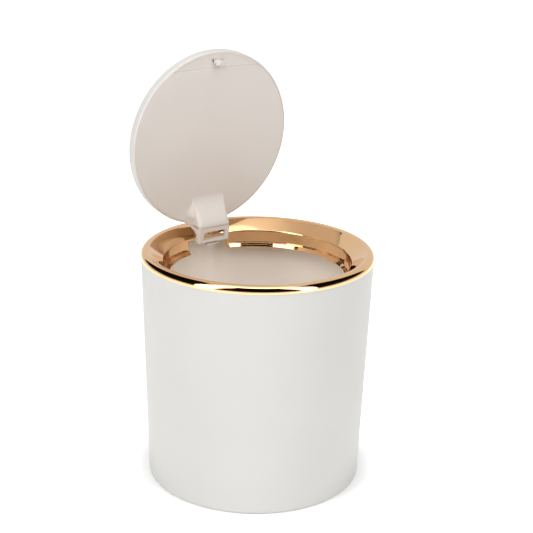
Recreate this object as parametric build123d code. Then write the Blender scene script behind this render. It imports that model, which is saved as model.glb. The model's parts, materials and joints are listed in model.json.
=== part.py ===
"""Countertop trash can: tapered white bucket, rose-gold rim ring and a sprung, rear-hinged flip lid.

Millimetres. Origin on the floor under the can's axis, +Z up, front towards -Y, hinge at +Y.
The lid is modelled shut and is then turned open about the hinge pin, which is the rest pose.
"""
import math
import os

from build123d import *

# Can body
rim_radius = 79.7
base_inset = 5.1
body_height = 158.0
body_wall = 1.9
floor_thickness = 2.2
floor_recess = 1.2
foot_ring_width = 5.0
base_edge_radius = 1.1
floor_corner_radius = 5.0

# Foot pads
pad_count = 4
pad_radius = 7.0
pad_proud = 0.5
pad_seat_depth = 0.4
pad_seat_clearance = 0.15
pad_edge_gap = 8.0
pad_chamfer = 0.2

# Rim ring
bead_radius = 4.3
bead_overhang = 0.3
bead_rise = 0.5
mouth_inset = 15.7
mouth_drop = 2.8
mouth_wall_relief = 0.4
ledge_drop = 8.7
ledge_width = 3.8
ledge_thickness = 1.6
ring_wall = 1.8
skirt_wall = 1.6
skirt_clearance = 0.3
skirt_drop = 10.0

# Lid
lid_clearance = 0.8
lid_thickness = 6.8
lid_press_travel = 2.5
lid_press_angle = 1.0
lid_open_angle = 84.0
cover_top = 1.6
cover_wall = 1.5
cover_edge_radius = 1.0
panel_thickness = 1.6
panel_gap = 0.25
chord_margin = 2.4
chord_step = 0.4

# Hinge pin, knuckle and ears
pin_radius = 1.0
pin_fit = 0.05
pin_overhang = 0.7
pin_chamfer = 0.2
knuckle_radius = 2.5
knuckle_gap = 1.1
ear_thickness = 2.0
ear_drop = 0.4
ear_lead = 0.3
slot_end_gap = 0.2

# Hinge springs
spring_wire = 0.7
spring_mean_radius = 1.65
spring_coils = 3
spring_coil_room = 3
spring_side_gap = 0.3
spring_slot_gap = 0.35
spring_hook = 1.6
spring_hook_drop = 1.2
spring_hook_gap = 0.34
spring_seat_turn = 225.0
spring_seat_gap = 0.15

# Hinge arm, from the gooseneck up behind the lid's rim to the knuckle
arm_half_width = 4.8
arm_rim_gap = 0.4
arm_lap = 2.2
arm_thickness = 3.9
arm_top_drop = 2.4
arm_elbow_run = 5.6
arm_elbow_rise = 1.4
arm_heel_rise = 2.4
arm_foot_drop = 0.4
arm_neck_inset = 0.4

# Gooseneck block under the rear of the lid
block_half_width = 13.0
block_depth = 11.3
block_rim_inset = 2.2
block_length = 12.7
block_return = 4.0
block_plate = 2.2
block_cheek = 2.5
block_corner_radius = 0.9
return_length = 7.2
web_run = 2.2
web_rise = 1.8
ramp_length = 17.0
ramp_start_pull = 1.15
ramp_end_pull = 0.75
neck_root_lap = 2.0
window_half_width = 9.0
window_length = 5.9
window_end_bar = 2.3
lip_half_width = 5.0
lip_thickness = 1.0
lip_gap = 1.0
lip_drop = 3.4
lip_root = 0.6
lip_lap = 1.2
notch_clearance = 3.8

# Striker
striker_inset = 4.6
striker_length = 6.2
striker_head_half = 3.5
striker_neck_half = 2.2
striker_head_height = 2.7
striker_point = 1.2
striker_thickness = 2.4
striker_plate_side = 2.0
striker_plate_edge = 1.0
striker_plate_thickness = 1.0

# Push latch
slider_travel = 4.0
slider_fit = 0.2
slider_tip_gap = 0.4
slider_floor = 3.0
slider_shoulder = 1.3
prong_thickness = 1.3
prong_hook = 0.5
prong_hook_height = 1.2
prong_gap = 0.4
prong_top_gap = 0.4
prong_side_inset = 0.6
latch_wall = 1.3
cover_plate_top_gap = 0.4
cam_gap = 1.4
cam_track_depth = 1.1
cam_lane = 1.8
cam_track_side = 1.2
cam_track_head = 0.6
cam_track_foot = 1.0
cam_wire = 0.8
cam_foot_rise = 1.4
cam_tip_rise = 2.0
cam_tip_gap = 0.3
bore_depth = 6.0
bore_wall = 0.6
latch_wire = 0.6
latch_coils = 6
latch_coil_mean = 1.6
latch_spring_gap = 0.3

# Shelf, bosses and screws that carry the latch
shelf_slot_clearance = 1.2
shelf_side_margin = 0.9
shelf_lip = 1.1
shelf_corner_radius = 3.0
boss_wall = 1.4
boss_height = 3.5
latch_ear_edge = 0.4
latch_ear_height = 2.0
latch_ear_depth = 6.0
screw_radius = 1.0
screw_hole_fit = 0.15
screw_grip = 3.2
screw_tip_gap = 0.2
screw_head_radius = 1.9
screw_head_height = 1.3
screw_slot_length = 2.6
screw_slot_width = 0.5
screw_slot_depth = 0.5

# Heights and radii worked out from the sizes above
base_z = pad_proud
rim_z = base_z + body_height
base_radius = rim_radius - base_inset
body_taper = base_inset / body_height
bead_r = rim_radius + bead_overhang - bead_radius
bead_z = rim_z + bead_rise
mouth_radius = rim_radius - mouth_inset
mouth_z = rim_z - mouth_drop
ledge_z = mouth_z - ledge_drop
shelf_under_z = ledge_z - ledge_thickness
skirt_bottom_z = rim_z - skirt_drop
wall_radius = mouth_radius + mouth_wall_relief
ledge_radius = wall_radius - ledge_width
lid_radius = mouth_radius - lid_clearance
lid_under_z = ledge_z + lid_press_travel
lid_top_z = lid_under_z + lid_thickness
panel_radius = lid_radius - cover_wall - panel_gap
far = 2 * rim_radius + body_height

# Hinge and gooseneck places
pivot_y = rim_radius - body_wall - skirt_clearance - skirt_wall - knuckle_gap - knuckle_radius
pivot_z = lid_top_z
hinge_axis = Axis((0, pivot_y, pivot_z), (1, 0, 0))
ear_inner_x = arm_half_width + 2 * spring_side_gap + (spring_coils + spring_coil_room) * spring_wire
ear_outer_x = ear_inner_x + ear_thickness
slot_half_width = arm_half_width + spring_side_gap + spring_wire + spring_slot_gap
block_face_z = lid_under_z - block_depth
block_return_z = block_face_z + block_return
block_front_y = lid_radius - block_rim_inset
block_end_y = block_front_y + block_length
ramp_start_y = block_front_y - ramp_length
arm_root_y = lid_radius + arm_rim_gap
notch_half_width = block_half_width + notch_clearance

# Striker and latch places
striker_y = striker_inset - ledge_radius
striker_plate_x = striker_head_half + striker_plate_side
striker_plate_y = striker_thickness / 2 + striker_plate_edge
chord_y = striker_y + striker_plate_y + chord_margin
bore_radius = latch_coil_mean + latch_wire / 2 + latch_spring_gap
slider_half_width = striker_head_half + prong_gap + prong_hook + prong_thickness + slider_shoulder
slider_front_y = striker_y - bore_radius - bore_wall
slider_back_y = striker_y + bore_radius + bore_wall
latch_cover_y = slider_back_y + cam_gap
striker_over_drop = (pivot_y - striker_y) * math.sin(math.radians(lid_press_angle))
cup_floor_z = lid_under_z - striker_length - striker_over_drop - slider_tip_gap
slider_low_z = cup_floor_z - slider_floor - bore_depth
housing_low_z = slider_low_z - slider_travel - slider_fit - latch_wall
housing_half_width = slider_half_width + slider_fit + latch_wall
cam_lane_x = slider_half_width - cam_track_side - cam_lane
cam_x = cam_lane_x + cam_lane / 2
cam_foot_z = housing_low_z + latch_wall + cam_foot_rise
boss_radius = screw_radius + boss_wall
latch_ear_reach = 2 * (boss_radius + latch_ear_edge)
latch_ear_top_z = shelf_under_z - boss_height
screw_x = housing_half_width + latch_ear_reach / 2
shelf_half_width = housing_half_width + latch_ear_reach + shelf_side_margin


def outer_radius(z):
    """Radius of the can's outer face at height z."""
    return base_radius + body_taper * (z - base_z)


def inner_radius(z):
    """Radius of the can's inner face at height z."""
    return outer_radius(z) - body_wall


def block(x_range, y_range, z_range):
    """Box between two corners given as ranges."""
    size = [high - low for low, high in (x_range, y_range, z_range)]
    centre = [(high + low) / 2 for low, high in (x_range, y_range, z_range)]
    return Pos(*centre) * Box(*size)


def both_sides(inner, outer):
    """The x range from inner to outer, and its mirror image."""
    return ((inner, outer), (-outer, -inner))


def disc(radius, height, low_z=0.0):
    """Upright cylinder on the can's axis that starts at low_z."""
    return Pos(0, 0, low_z) * Cylinder(radius, height, align=(Align.CENTER, Align.CENTER, Align.MIN))


def outline_face(points, plane):
    """Face of a closed outline of straight runs."""
    return plane * make_face(Polyline(*points, close=True))


def turned_solid(face):
    """Full turn of an (R, z) face drawn on the XZ plane."""
    return revolve(face, Axis.Z, 360)


def across(face, half_width):
    """Solid of a face on the YZ plane, to half_width each side of x = 0."""
    return extrude(Plane.YZ * face, half_width, both=True)


def rod(start, end, radius):
    """Round bar between two points."""
    direction = Vector(*end) - Vector(*start)
    return Plane(origin=start, z_dir=direction) * disc(radius, direction.length)


def swept_wire(line, radius):
    """Round wire along a line."""
    return sweep(Plane(origin=line @ 0, z_dir=line % 0) * Circle(radius), line)


def circle_edges(shape, radius, z):
    """Edges of a shape that are circles of this radius at this height."""
    return shape.edges().filter_by(GeomType.CIRCLE).filter_by(
        lambda edge: math.isclose(edge.radius, radius, abs_tol=0.01)
        and math.isclose(edge.center().Z, z, abs_tol=0.01)
    )


def opened(shape):
    """Turn a shut lid piece to the open rest pose."""
    return shape.rotate(hinge_axis, -lid_open_angle)


# Can body: a tapered bucket with a recessed floor that stands on a foot ring
def pad_places():
    """Floor positions of the pads, between the front, sides and back."""
    reach = base_radius - foot_ring_width - pad_edge_gap
    turns = [math.tau * (i + 0.5) / pad_count for i in range(pad_count)]
    return [Pos(reach * math.cos(turn), reach * math.sin(turn), 0) for turn in turns]


def make_can_body():
    floor_under = base_z + floor_recess
    floor_top = floor_under + floor_thickness
    foot_inner = base_radius - foot_ring_width
    outline = [
        (0, floor_under),
        (foot_inner, floor_under),
        (foot_inner, base_z),
        (base_radius, base_z),
        (rim_radius, rim_z),
        (inner_radius(rim_z), rim_z),
        (inner_radius(floor_top), floor_top),
        (0, floor_top),
    ]
    body = turned_solid(outline_face(outline, Plane.XZ))
    body = fillet(circle_edges(body, base_radius, base_z), base_edge_radius)
    body = fillet(circle_edges(body, inner_radius(floor_top), floor_top), floor_corner_radius)
    seat = disc(pad_radius + pad_seat_clearance, floor_under + pad_seat_depth)
    for place in pad_places():
        body -= place * seat
    return body


def make_foot_pads():
    pad = disc(pad_radius, base_z + floor_recess + pad_seat_depth)
    pad = chamfer(circle_edges(pad, pad_radius, 0), pad_chamfer)
    return [place * pad for place in pad_places()]


# Rim ring: bead, conical dish, mouth wall, ledge and skirt in one moulding
def dish_slope():
    """Slope of the dish, from the mouth's edge up to where it touches the bead."""
    run = bead_r - mouth_radius
    drop = bead_z - mouth_z
    return math.atan2(drop, run) + math.asin(bead_radius / math.hypot(run, drop))


def bead_point(radius, angle):
    return (bead_r + radius * math.cos(angle), bead_z + radius * math.sin(angle))


def make_ring_section():
    slope = dish_slope()
    touch = math.pi / 2 + slope
    seat_angle = -math.asin(bead_rise / bead_radius)
    cavity_radius = bead_radius - ring_wall
    skirt_top_outer = inner_radius(rim_z) - skirt_clearance
    skirt_low_outer = inner_radius(skirt_bottom_z) - skirt_clearance
    skirt_top_inner = skirt_top_outer - skirt_wall
    cavity_end = bead_point(cavity_radius, touch)
    wall_outer = wall_radius + ring_wall
    wall_outer_z = cavity_end[1] - (cavity_end[0] - wall_outer) * math.tan(slope)
    skirt_offset = skirt_top_inner - bead_r
    cavity_top_z = bead_z + math.sqrt(cavity_radius**2 - skirt_offset**2)
    outer_arc = ThreePointArc(
        bead_point(bead_radius, seat_angle),
        bead_point(bead_radius, (seat_angle + touch) / 2),
        bead_point(bead_radius, touch),
    )
    inside = Polyline(
        bead_point(bead_radius, touch),
        (mouth_radius, mouth_z),
        (wall_radius, mouth_z - ring_wall),
        (wall_radius, ledge_z),
        (ledge_radius, ledge_z),
        (ledge_radius, shelf_under_z),
        (wall_outer, shelf_under_z),
        (wall_outer, wall_outer_z),
        cavity_end,
    )
    cavity_start = math.atan2(cavity_top_z - bead_z, skirt_offset)
    cavity_arc = ThreePointArc(
        cavity_end,
        bead_point(cavity_radius, (touch + cavity_start) / 2),
        (skirt_top_inner, cavity_top_z),
    )
    skirt = Polyline(
        (skirt_top_inner, cavity_top_z),
        (skirt_top_inner, rim_z),
        (skirt_low_outer - skirt_wall, skirt_bottom_z),
        (skirt_low_outer, skirt_bottom_z),
        (skirt_top_outer, rim_z),
        bead_point(bead_radius, seat_angle),
    )
    return Plane.XZ * make_face(Curve() + [outer_arc, inside, cavity_arc, skirt])


def make_ear_fill():
    """Solid of turn between the dish, the skirt and the hinge level, which trims the hinge ears."""
    touch = math.pi / 2 + dish_slope()
    low_z = pivot_z - knuckle_radius - ear_drop
    skirt_middle = inner_radius(low_z) - skirt_clearance - skirt_wall / 2
    bead_middle = bead_radius - ring_wall / 2
    outline = [
        bead_point(bead_middle, touch),
        (mouth_radius + ring_wall, mouth_z - ring_wall / 2),
        (mouth_radius + ring_wall, low_z),
        (skirt_middle, low_z),
        (skirt_middle, bead_z),
        bead_point(bead_middle, math.pi / 2),
    ]
    return turned_solid(outline_face(outline, Plane.XZ))


def make_latch_shelf():
    """Shelf under the front of the lid that carries the latch, with the striker's slot and two bosses."""
    front = -wall_radius - ring_wall / 2
    back = latch_cover_y + latch_wall + shelf_lip
    shelf = block((-shelf_half_width, shelf_half_width), (front, back), (shelf_under_z, ledge_z))
    rear_corners = shelf.edges().filter_by(Axis.Z).group_by(Axis.Y)[-1]
    shelf = fillet(rear_corners, shelf_corner_radius)
    slot_x = striker_head_half + shelf_slot_clearance
    slot_y = striker_thickness / 2 + shelf_slot_clearance
    shelf -= block((-slot_x, slot_x), (striker_y - slot_y, striker_y + slot_y), (0, far))
    for x in (-screw_x, screw_x):
        shelf += Pos(x, striker_y, 0) * disc(boss_radius, boss_height, latch_ear_top_z)
        shelf -= Pos(x, striker_y, 0) * disc(screw_radius, screw_grip, latch_ear_top_z)
    return shelf


def make_rim_ring():
    ring = turned_solid(make_ring_section())
    notch_x = (-notch_half_width, notch_half_width)
    ring -= block(notch_x, (mouth_radius / 2, pivot_y - knuckle_radius), (0, mouth_z - ring_wall))
    slot_x = (-slot_half_width, slot_half_width)
    ring -= block(slot_x, (mouth_radius / 2, pivot_y + slot_end_gap), (0, far))
    fill = make_ear_fill()
    ear_y = (pivot_y - knuckle_radius - ear_lead, rim_radius)
    for ear_x in both_sides(ear_inner_x, ear_outer_x):
        ring += fill & block(ear_x, ear_y, (0, far))
    ring -= rod((-far, pivot_y, pivot_z), (far, pivot_y, pivot_z), pin_radius)
    return ring + make_latch_shelf()


# Lid cover: the top shell, with a solid front segment ahead of the chord
def make_lid_cover():
    cover = disc(lid_radius, lid_thickness, lid_under_z)
    cover = fillet(circle_edges(cover, lid_radius, lid_top_z), cover_edge_radius)
    cover = fillet(circle_edges(cover, lid_radius, lid_under_z), cover_edge_radius / 2)
    hollow = disc(lid_radius - cover_wall, lid_thickness - cover_top, lid_under_z)
    segment = block((-far, far), (-far, chord_y - panel_gap), (lid_under_z + chord_step, lid_top_z))
    cover -= hollow - segment
    plate_x = (-striker_plate_x, striker_plate_x)
    plate_y = (striker_y - striker_plate_y, striker_y + striker_plate_y)
    cover -= block(plate_x, plate_y, (lid_under_z, lid_under_z + chord_step + striker_plate_thickness))
    return cover


# Lid base: underside panel with the gooseneck block and the hinge arm
def make_gooseneck():
    """Ramp down to a pierced block, its return, and the small lip behind it."""
    ramp = Spline(
        (ramp_start_y, lid_under_z),
        (block_front_y, block_face_z),
        tangents=[(1, 0), (1, 0)],
        tangent_scalars=[ramp_start_pull, ramp_end_pull],
    )
    rest = Polyline(
        (block_front_y, block_face_z),
        (block_end_y, block_face_z),
        (block_end_y, block_return_z),
        (block_end_y - return_length, block_return_z),
        (block_end_y - return_length - web_run, block_return_z + web_rise),
        (panel_radius, lid_under_z),
        (ramp_start_y, lid_under_z),
    )
    neck = across(make_face(Curve() + [ramp, rest]), block_half_width)
    side_edges = neck.edges().filter_by(
        lambda edge: math.isclose(abs(edge.center().X), block_half_width, abs_tol=0.01)
        and math.isclose(edge.center().Z, block_face_z, abs_tol=0.01)
    )
    neck = fillet(side_edges, block_corner_radius)
    inside = block_half_width - block_cheek
    pocket_y = (block_front_y + block_plate, block_end_y - block_plate)
    pocket_z = (block_face_z + block_plate, block_return_z)
    neck -= block((-inside, inside), pocket_y, pocket_z)
    window_y = (block_end_y - window_end_bar - window_length, block_end_y - window_end_bar)
    neck -= block((-window_half_width, window_half_width), window_y, (0, pocket_z[0]))
    lip_x = (-lip_half_width, lip_half_width)
    lip_y = block_end_y + lip_gap
    lip_top = block_return_z + lip_root
    neck += block(lip_x, (lip_y, lip_y + lip_thickness), (block_return_z - lip_drop, lip_top))
    neck += block(lip_x, (block_end_y - lip_lap, lip_y + lip_thickness), (block_return_z - lip_root, lip_top))
    return neck


def arm_corners():
    """Elbow and heel of the arm's outer face, as (y, z) with the lid shut."""
    elbow = Vector(arm_root_y + arm_elbow_run, lid_under_z + arm_elbow_rise)
    heel = Vector(arm_root_y + arm_thickness, block_return_z + arm_heel_rise)
    return elbow, heel


def make_hinge_arm():
    lean = math.radians(lid_open_angle)
    elbow, heel = arm_corners()
    foot_z = block_return_z - arm_foot_drop
    outline = [
        (arm_root_y - arm_lap, lid_under_z),
        (arm_root_y, lid_under_z),
        (arm_root_y, lid_top_z - arm_top_drop),
        (pivot_y - knuckle_radius * math.sin(lean), pivot_z + knuckle_radius * math.cos(lean)),
        (pivot_y, pivot_z),
        (pivot_y - arm_neck_inset, pivot_z - knuckle_radius),
        (elbow.X, elbow.Y),
        (heel.X, heel.Y),
        (heel.X, foot_z),
        (arm_root_y - arm_lap, foot_z),
    ]
    arm = across(make_face(Polyline(*outline, close=True)), arm_half_width)
    arm += rod((-arm_half_width, pivot_y, pivot_z), (arm_half_width, pivot_y, pivot_z), knuckle_radius)
    return arm - rod((-far, pivot_y, pivot_z), (far, pivot_y, pivot_z), pin_radius + pin_fit)


def make_lid_base():
    panel = disc(panel_radius, panel_thickness, lid_under_z)
    panel -= block((-far, far), (-far, chord_y), (0, far))
    root = block(
        (-block_half_width, block_half_width),
        (ramp_start_y, panel_radius - neck_root_lap),
        (lid_under_z, lid_under_z + panel_thickness),
    )
    return panel + root + make_gooseneck() + make_hinge_arm()


# Striker: a T-headed hook on a small plate set in the front of the lid
def make_lid_striker():
    plate_z = lid_under_z + chord_step
    plate = block(
        (-striker_plate_x, striker_plate_x),
        (striker_y - striker_plate_y, striker_y + striker_plate_y),
        (plate_z, plate_z + striker_plate_thickness),
    )
    tip_z = lid_under_z - striker_length
    head_z = tip_z + striker_head_height
    side = [
        (striker_head_half - striker_point, tip_z),
        (striker_head_half, tip_z + striker_point),
        (striker_head_half, head_z),
        (striker_neck_half, head_z),
        (striker_neck_half, plate_z),
    ]
    outline = side + [(-x, z) for x, z in reversed(side)]
    hook = extrude(outline_face(outline, Plane.XZ), striker_thickness / 2, both=True)
    return plate + Pos(0, striker_y, 0) * hook


# Hinge pin and its two springs
def make_hinge_pin():
    half = ear_outer_x + pin_overhang
    pin = rod((-half, pivot_y, pivot_z), (half, pivot_y, pivot_z), pin_radius)
    return chamfer(pin.edges().filter_by(GeomType.CIRCLE), pin_chamfer)


def spring_hook_place():
    """Where the spring's hook lies behind the open arm, as (y, z) from the pin."""
    elbow, heel = arm_corners()
    along = (heel - elbow).normalized()
    outward = Vector(-along.Y, along.X)
    shut = elbow + along * spring_hook_drop + outward * (spring_wire / 2 + spring_hook_gap)
    return (shut - Vector(pivot_y, pivot_z)).rotate(Axis.Z, -lid_open_angle)


def make_hinge_spring():
    """Right-hand coil round the pin, with one leg on the skirt and one hooked behind the lid's arm."""
    wire = spring_wire / 2
    inner_x = arm_half_width + spring_side_gap + wire
    outer_x = ear_inner_x - spring_side_gap - wire
    length = outer_x - inner_x
    hook = spring_hook_place()
    hook_leg = math.sqrt(hook.length**2 - spring_mean_radius**2)
    start_turn = math.atan2(hook.Y, hook.X) + math.atan2(hook_leg, spring_mean_radius)
    seat_turn = math.radians(spring_seat_turn)
    turns = spring_coils + ((seat_turn - start_turn) % math.tau) / math.tau
    coil = Rot(0, 0, math.degrees(start_turn)) * Helix(length / turns, length, spring_mean_radius)
    skirt_inner = inner_radius(skirt_bottom_z) - skirt_clearance - skirt_wall
    seat_y = math.sqrt(skirt_inner**2 - outer_x**2) - wire - spring_seat_gap
    seat_leg = (seat_y - pivot_y - spring_mean_radius * math.cos(seat_turn)) / -math.sin(seat_turn)
    hook_line = Line(coil @ 0, coil @ 0 - (coil % 0) * hook_leg)
    seat_line = Line(coil @ 1, coil @ 1 + (coil % 1) * seat_leg)
    spring = swept_wire(coil, wire) + swept_wire(hook_line, wire) + swept_wire(seat_line, wire)
    tip = hook_line @ 1
    hook_end = Vector(tip.X, tip.Y, arm_half_width - spring_hook - inner_x)
    spring += rod(tuple(tip), tuple(hook_end), wire) + Pos(*tip) * Sphere(wire)
    return Plane(origin=(inner_x, pivot_y, pivot_z), x_dir=(0, 1, 0), z_dir=(1, 0, 0)) * spring


# Push latch: a slider with two prongs in a screwed housing, steered by a bent wire in its track
def make_latch_slider():
    hook_x = striker_head_half + prong_gap
    prong_x = hook_x + prong_hook
    prong_outer = prong_x + prong_thickness
    top_z = shelf_under_z - prong_top_gap
    depth = (slider_front_y + prong_side_inset, slider_back_y - prong_side_inset)
    slider = block(
        (-slider_half_width, slider_half_width),
        (slider_front_y, slider_back_y),
        (slider_low_z, cup_floor_z),
    )
    for prong_range in both_sides(prong_x, prong_outer):
        slider += block(prong_range, depth, (cup_floor_z, top_z))
    for hook_range in both_sides(hook_x, prong_outer):
        slider += block(hook_range, depth, (top_z - prong_hook_height, top_z))
    slider -= Pos(0, striker_y, 0) * disc(bore_radius, bore_depth, slider_low_z)
    track_y = (slider_back_y - cam_track_depth, slider_back_y)
    track_top = cup_floor_z - cam_track_head
    for lane in both_sides(cam_lane_x, cam_lane_x + cam_lane):
        slider -= block(lane, track_y, (slider_low_z + cam_track_foot, track_top))
    slider -= block((-cam_lane_x, cam_lane_x), track_y, (track_top - cam_lane, track_top))
    return slider


def make_latch_housing():
    inside = slider_half_width + slider_fit
    front_in = slider_front_y - slider_fit
    housing = block(
        (-housing_half_width, housing_half_width),
        (front_in - latch_wall, latch_cover_y),
        (housing_low_z, shelf_under_z),
    )
    housing -= block((-inside, inside), (front_in, latch_cover_y), (housing_low_z + latch_wall, shelf_under_z))
    ear_y = (striker_y - latch_ear_depth / 2, striker_y + latch_ear_depth / 2)
    ear_z = (latch_ear_top_z - latch_ear_height, latch_ear_top_z)
    for ear_x in both_sides(housing_half_width, housing_half_width + latch_ear_reach):
        housing += block(ear_x, ear_y, ear_z)
    for x in (-screw_x, screw_x):
        housing -= Pos(x, striker_y, 0) * disc(screw_radius + screw_hole_fit, latch_ear_height, ear_z[0])
    return housing


def make_latch_cover():
    plate = block(
        (-housing_half_width, housing_half_width),
        (latch_cover_y, latch_cover_y + latch_wall),
        (housing_low_z, shelf_under_z - cover_plate_top_gap),
    )
    return plate - rod((cam_x, -far, cam_foot_z), (cam_x, far, cam_foot_z), cam_wire / 2)


def make_latch_cam_pin():
    """Bent wire: foot in the cover plate, stem in the gap, tip in the track."""
    wire = cam_wire / 2
    stem_y = (slider_back_y + latch_cover_y) / 2
    tip_y = slider_back_y - cam_track_depth + cam_tip_gap
    knee_z = slider_low_z + cam_tip_rise
    corners = [
        (cam_x, latch_cover_y + latch_wall, cam_foot_z),
        (cam_x, stem_y, cam_foot_z),
        (cam_x, stem_y, knee_z),
        (cam_x, tip_y, knee_z),
    ]
    pin = Pos(*corners[1]) * Sphere(wire) + Pos(*corners[2]) * Sphere(wire)
    for start, end in zip(corners, corners[1:]):
        pin += rod(start, end, wire)
    return pin


def make_latch_spring():
    wire = latch_wire / 2
    foot_z = housing_low_z + latch_wall + wire
    height = slider_low_z + bore_depth - wire - foot_z
    coil = Pos(0, striker_y, foot_z) * Helix(height / latch_coils, height, latch_coil_mean)
    return swept_wire(coil, wire)


def make_latch_screws():
    """Two screws, driven up through the housing's ears into the shelf's bosses."""
    ear_under = latch_ear_top_z - latch_ear_height
    head_z = ear_under - screw_head_height
    screw = disc(screw_head_radius, screw_head_height, head_z)
    screw += disc(screw_radius, latch_ear_height + screw_grip - screw_tip_gap, ear_under)
    screw -= block(
        (-screw_slot_length / 2, screw_slot_length / 2),
        (-screw_slot_width / 2, screw_slot_width / 2),
        (head_z, head_z + screw_slot_depth),
    )
    return [Pos(x, striker_y, 0) * screw for x in (-screw_x, screw_x)]


nodes = {
    "can_body": make_can_body(),
    "rim_ring": make_rim_ring(),
    "lid_cover": opened(make_lid_cover()),
    "lid_base": opened(make_lid_base()),
    "lid_striker": opened(make_lid_striker()),
    "hinge_pin": make_hinge_pin(),
    "hinge_spring_right": make_hinge_spring(),
    "hinge_spring_left": mirror(make_hinge_spring(), Plane.YZ),
    "latch_housing": make_latch_housing(),
    "latch_cover": make_latch_cover(),
    "latch_slider": make_latch_slider(),
    "latch_spring": make_latch_spring(),
    "latch_cam_pin": make_latch_cam_pin(),
    "latch_screws": Compound(children=make_latch_screws()),
}
for number, pad in enumerate(make_foot_pads(), start=1):
    nodes[f"foot_pad_{number}"] = pad

os.makedirs("parts", exist_ok=True)
for name, shape in nodes.items():
    shape.label = name
    export_step(shape, f"parts/{name}.step")
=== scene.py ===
import json
import math

import bmesh
import bpy
from mathutils import Matrix, Vector
from mathutils.geometry import interpolate_bezier


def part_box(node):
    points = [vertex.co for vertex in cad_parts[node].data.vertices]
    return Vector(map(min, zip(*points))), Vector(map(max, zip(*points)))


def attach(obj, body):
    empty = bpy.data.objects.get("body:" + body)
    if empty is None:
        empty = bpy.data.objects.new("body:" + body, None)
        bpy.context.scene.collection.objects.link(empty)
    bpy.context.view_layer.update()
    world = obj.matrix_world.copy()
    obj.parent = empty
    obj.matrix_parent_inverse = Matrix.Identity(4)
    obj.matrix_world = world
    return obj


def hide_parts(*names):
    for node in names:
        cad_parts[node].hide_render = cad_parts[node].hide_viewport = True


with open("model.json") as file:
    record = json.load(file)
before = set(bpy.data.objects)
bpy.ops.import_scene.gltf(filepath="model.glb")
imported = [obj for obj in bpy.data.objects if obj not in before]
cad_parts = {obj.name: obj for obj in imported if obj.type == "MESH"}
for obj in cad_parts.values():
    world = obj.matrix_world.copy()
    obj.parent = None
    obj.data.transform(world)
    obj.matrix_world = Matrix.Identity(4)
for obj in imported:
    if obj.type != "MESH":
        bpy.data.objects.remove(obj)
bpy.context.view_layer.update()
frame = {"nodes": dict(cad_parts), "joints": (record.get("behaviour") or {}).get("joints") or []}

# Foot pads
# Four soft rubber discs under the floor, each pressed into a shallow seat. They stand a little proud of
# the can's foot ring, and two ring grooves are moulded into the face that grips the table.
mm = 0.001
pad_groove_width = 1.6 * mm
pad_groove_depth = 0.15 * mm
pad_edge_round = 0.25 * mm
pad_turns = 64
eased_from = math.radians(40.0)
creased_from = math.radians(32.0)


def soften(bm, width):
    """Round every edge that turns by more than eased_from."""
    sharp = [edge for edge in bm.edges if edge.is_manifold and edge.calc_face_angle() > eased_from]
    bmesh.ops.bevel(
        bm, geom=sharp, offset=width, offset_type="OFFSET", segments=2, profile=0.5,
        affect="EDGES", clamp_overlap=True, material=-1,
    )


def set_piece(bm, name, finish, body, slot, *nodes):
    """Turn a finished mesh into a piece that stands for CAD nodes and moves with their body."""
    bmesh.ops.recalc_face_normals(bm, faces=bm.faces)
    for face in bm.faces:
        face.smooth = True
    for edge in bm.edges:
        edge.smooth = edge.is_manifold and edge.calc_face_angle() < creased_from
    mesh = bpy.data.meshes.new(name)
    bm.to_mesh(mesh)
    bm.free()
    for material in finish if isinstance(finish, tuple) else (finish,):
        mesh.materials.append(material)
    piece = bpy.data.objects.new(name, mesh)
    bpy.context.scene.collection.objects.link(piece)
    flat_faces = piece.modifiers.new("flat_faces_stay_flat", "WEIGHTED_NORMAL")
    flat_faces.keep_sharp = True
    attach(piece, body)
    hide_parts(*nodes)


def new_finish(name):
    """Material with a plain Principled shader. Returns it, the shader, a node maker and the links."""
    material = bpy.data.materials.new(name)
    material.use_nodes = True
    tree = material.node_tree

    def add(kind, sources=(), **settings):
        """New node, whose inputs are linked to the given sockets or hold the given values."""
        node = tree.nodes.new(kind)
        for key, value in settings.items():
            setattr(node, key, value)
        for socket, source in dict(sources).items():
            if isinstance(source, bpy.types.NodeSocket):
                tree.links.new(source, node.inputs[socket])
            else:
                node.inputs[socket].default_value = source
        return node

    return material, tree.nodes["Principled BSDF"], add, tree.links


def moulded_skin_group():
    """Skin of a moulded part: a fine grain from the steel, and the broad drift of cooled resin."""
    group = bpy.data.node_groups.new("moulded_skin", "ShaderNodeTree")
    group.interface.new_socket("Place", in_out="INPUT", socket_type="NodeSocketVector")
    for given_name in ("Grain per metre", "Drift per metre", "Grain share"):
        group.interface.new_socket(given_name, in_out="INPUT", socket_type="NodeSocketFloat")
    for result_name in ("Relief", "Drift"):
        group.interface.new_socket(result_name, in_out="OUTPUT", socket_type="NodeSocketFloat")
    nodes, links = group.nodes, group.links
    given = nodes.new("NodeGroupInput")
    grain = nodes.new("ShaderNodeTexNoise")
    grain.inputs["Detail"].default_value = 3.0
    drift = nodes.new("ShaderNodeTexNoise")
    drift.inputs["Detail"].default_value = 1.5
    mixed = nodes.new("ShaderNodeMix")
    result = nodes.new("NodeGroupOutput")
    links.new(given.outputs["Place"], grain.inputs["Vector"])
    links.new(given.outputs["Place"], drift.inputs["Vector"])
    links.new(given.outputs["Grain per metre"], grain.inputs["Scale"])
    links.new(given.outputs["Drift per metre"], drift.inputs["Scale"])
    links.new(given.outputs["Grain share"], mixed.inputs["Factor"])
    links.new(drift.outputs["Fac"], mixed.inputs["A"])
    links.new(grain.outputs["Fac"], mixed.inputs["B"])
    links.new(mixed.outputs["Result"], result.inputs["Relief"])
    links.new(drift.outputs["Fac"], result.inputs["Drift"])
    return group


moulded_skin = moulded_skin_group()


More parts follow.
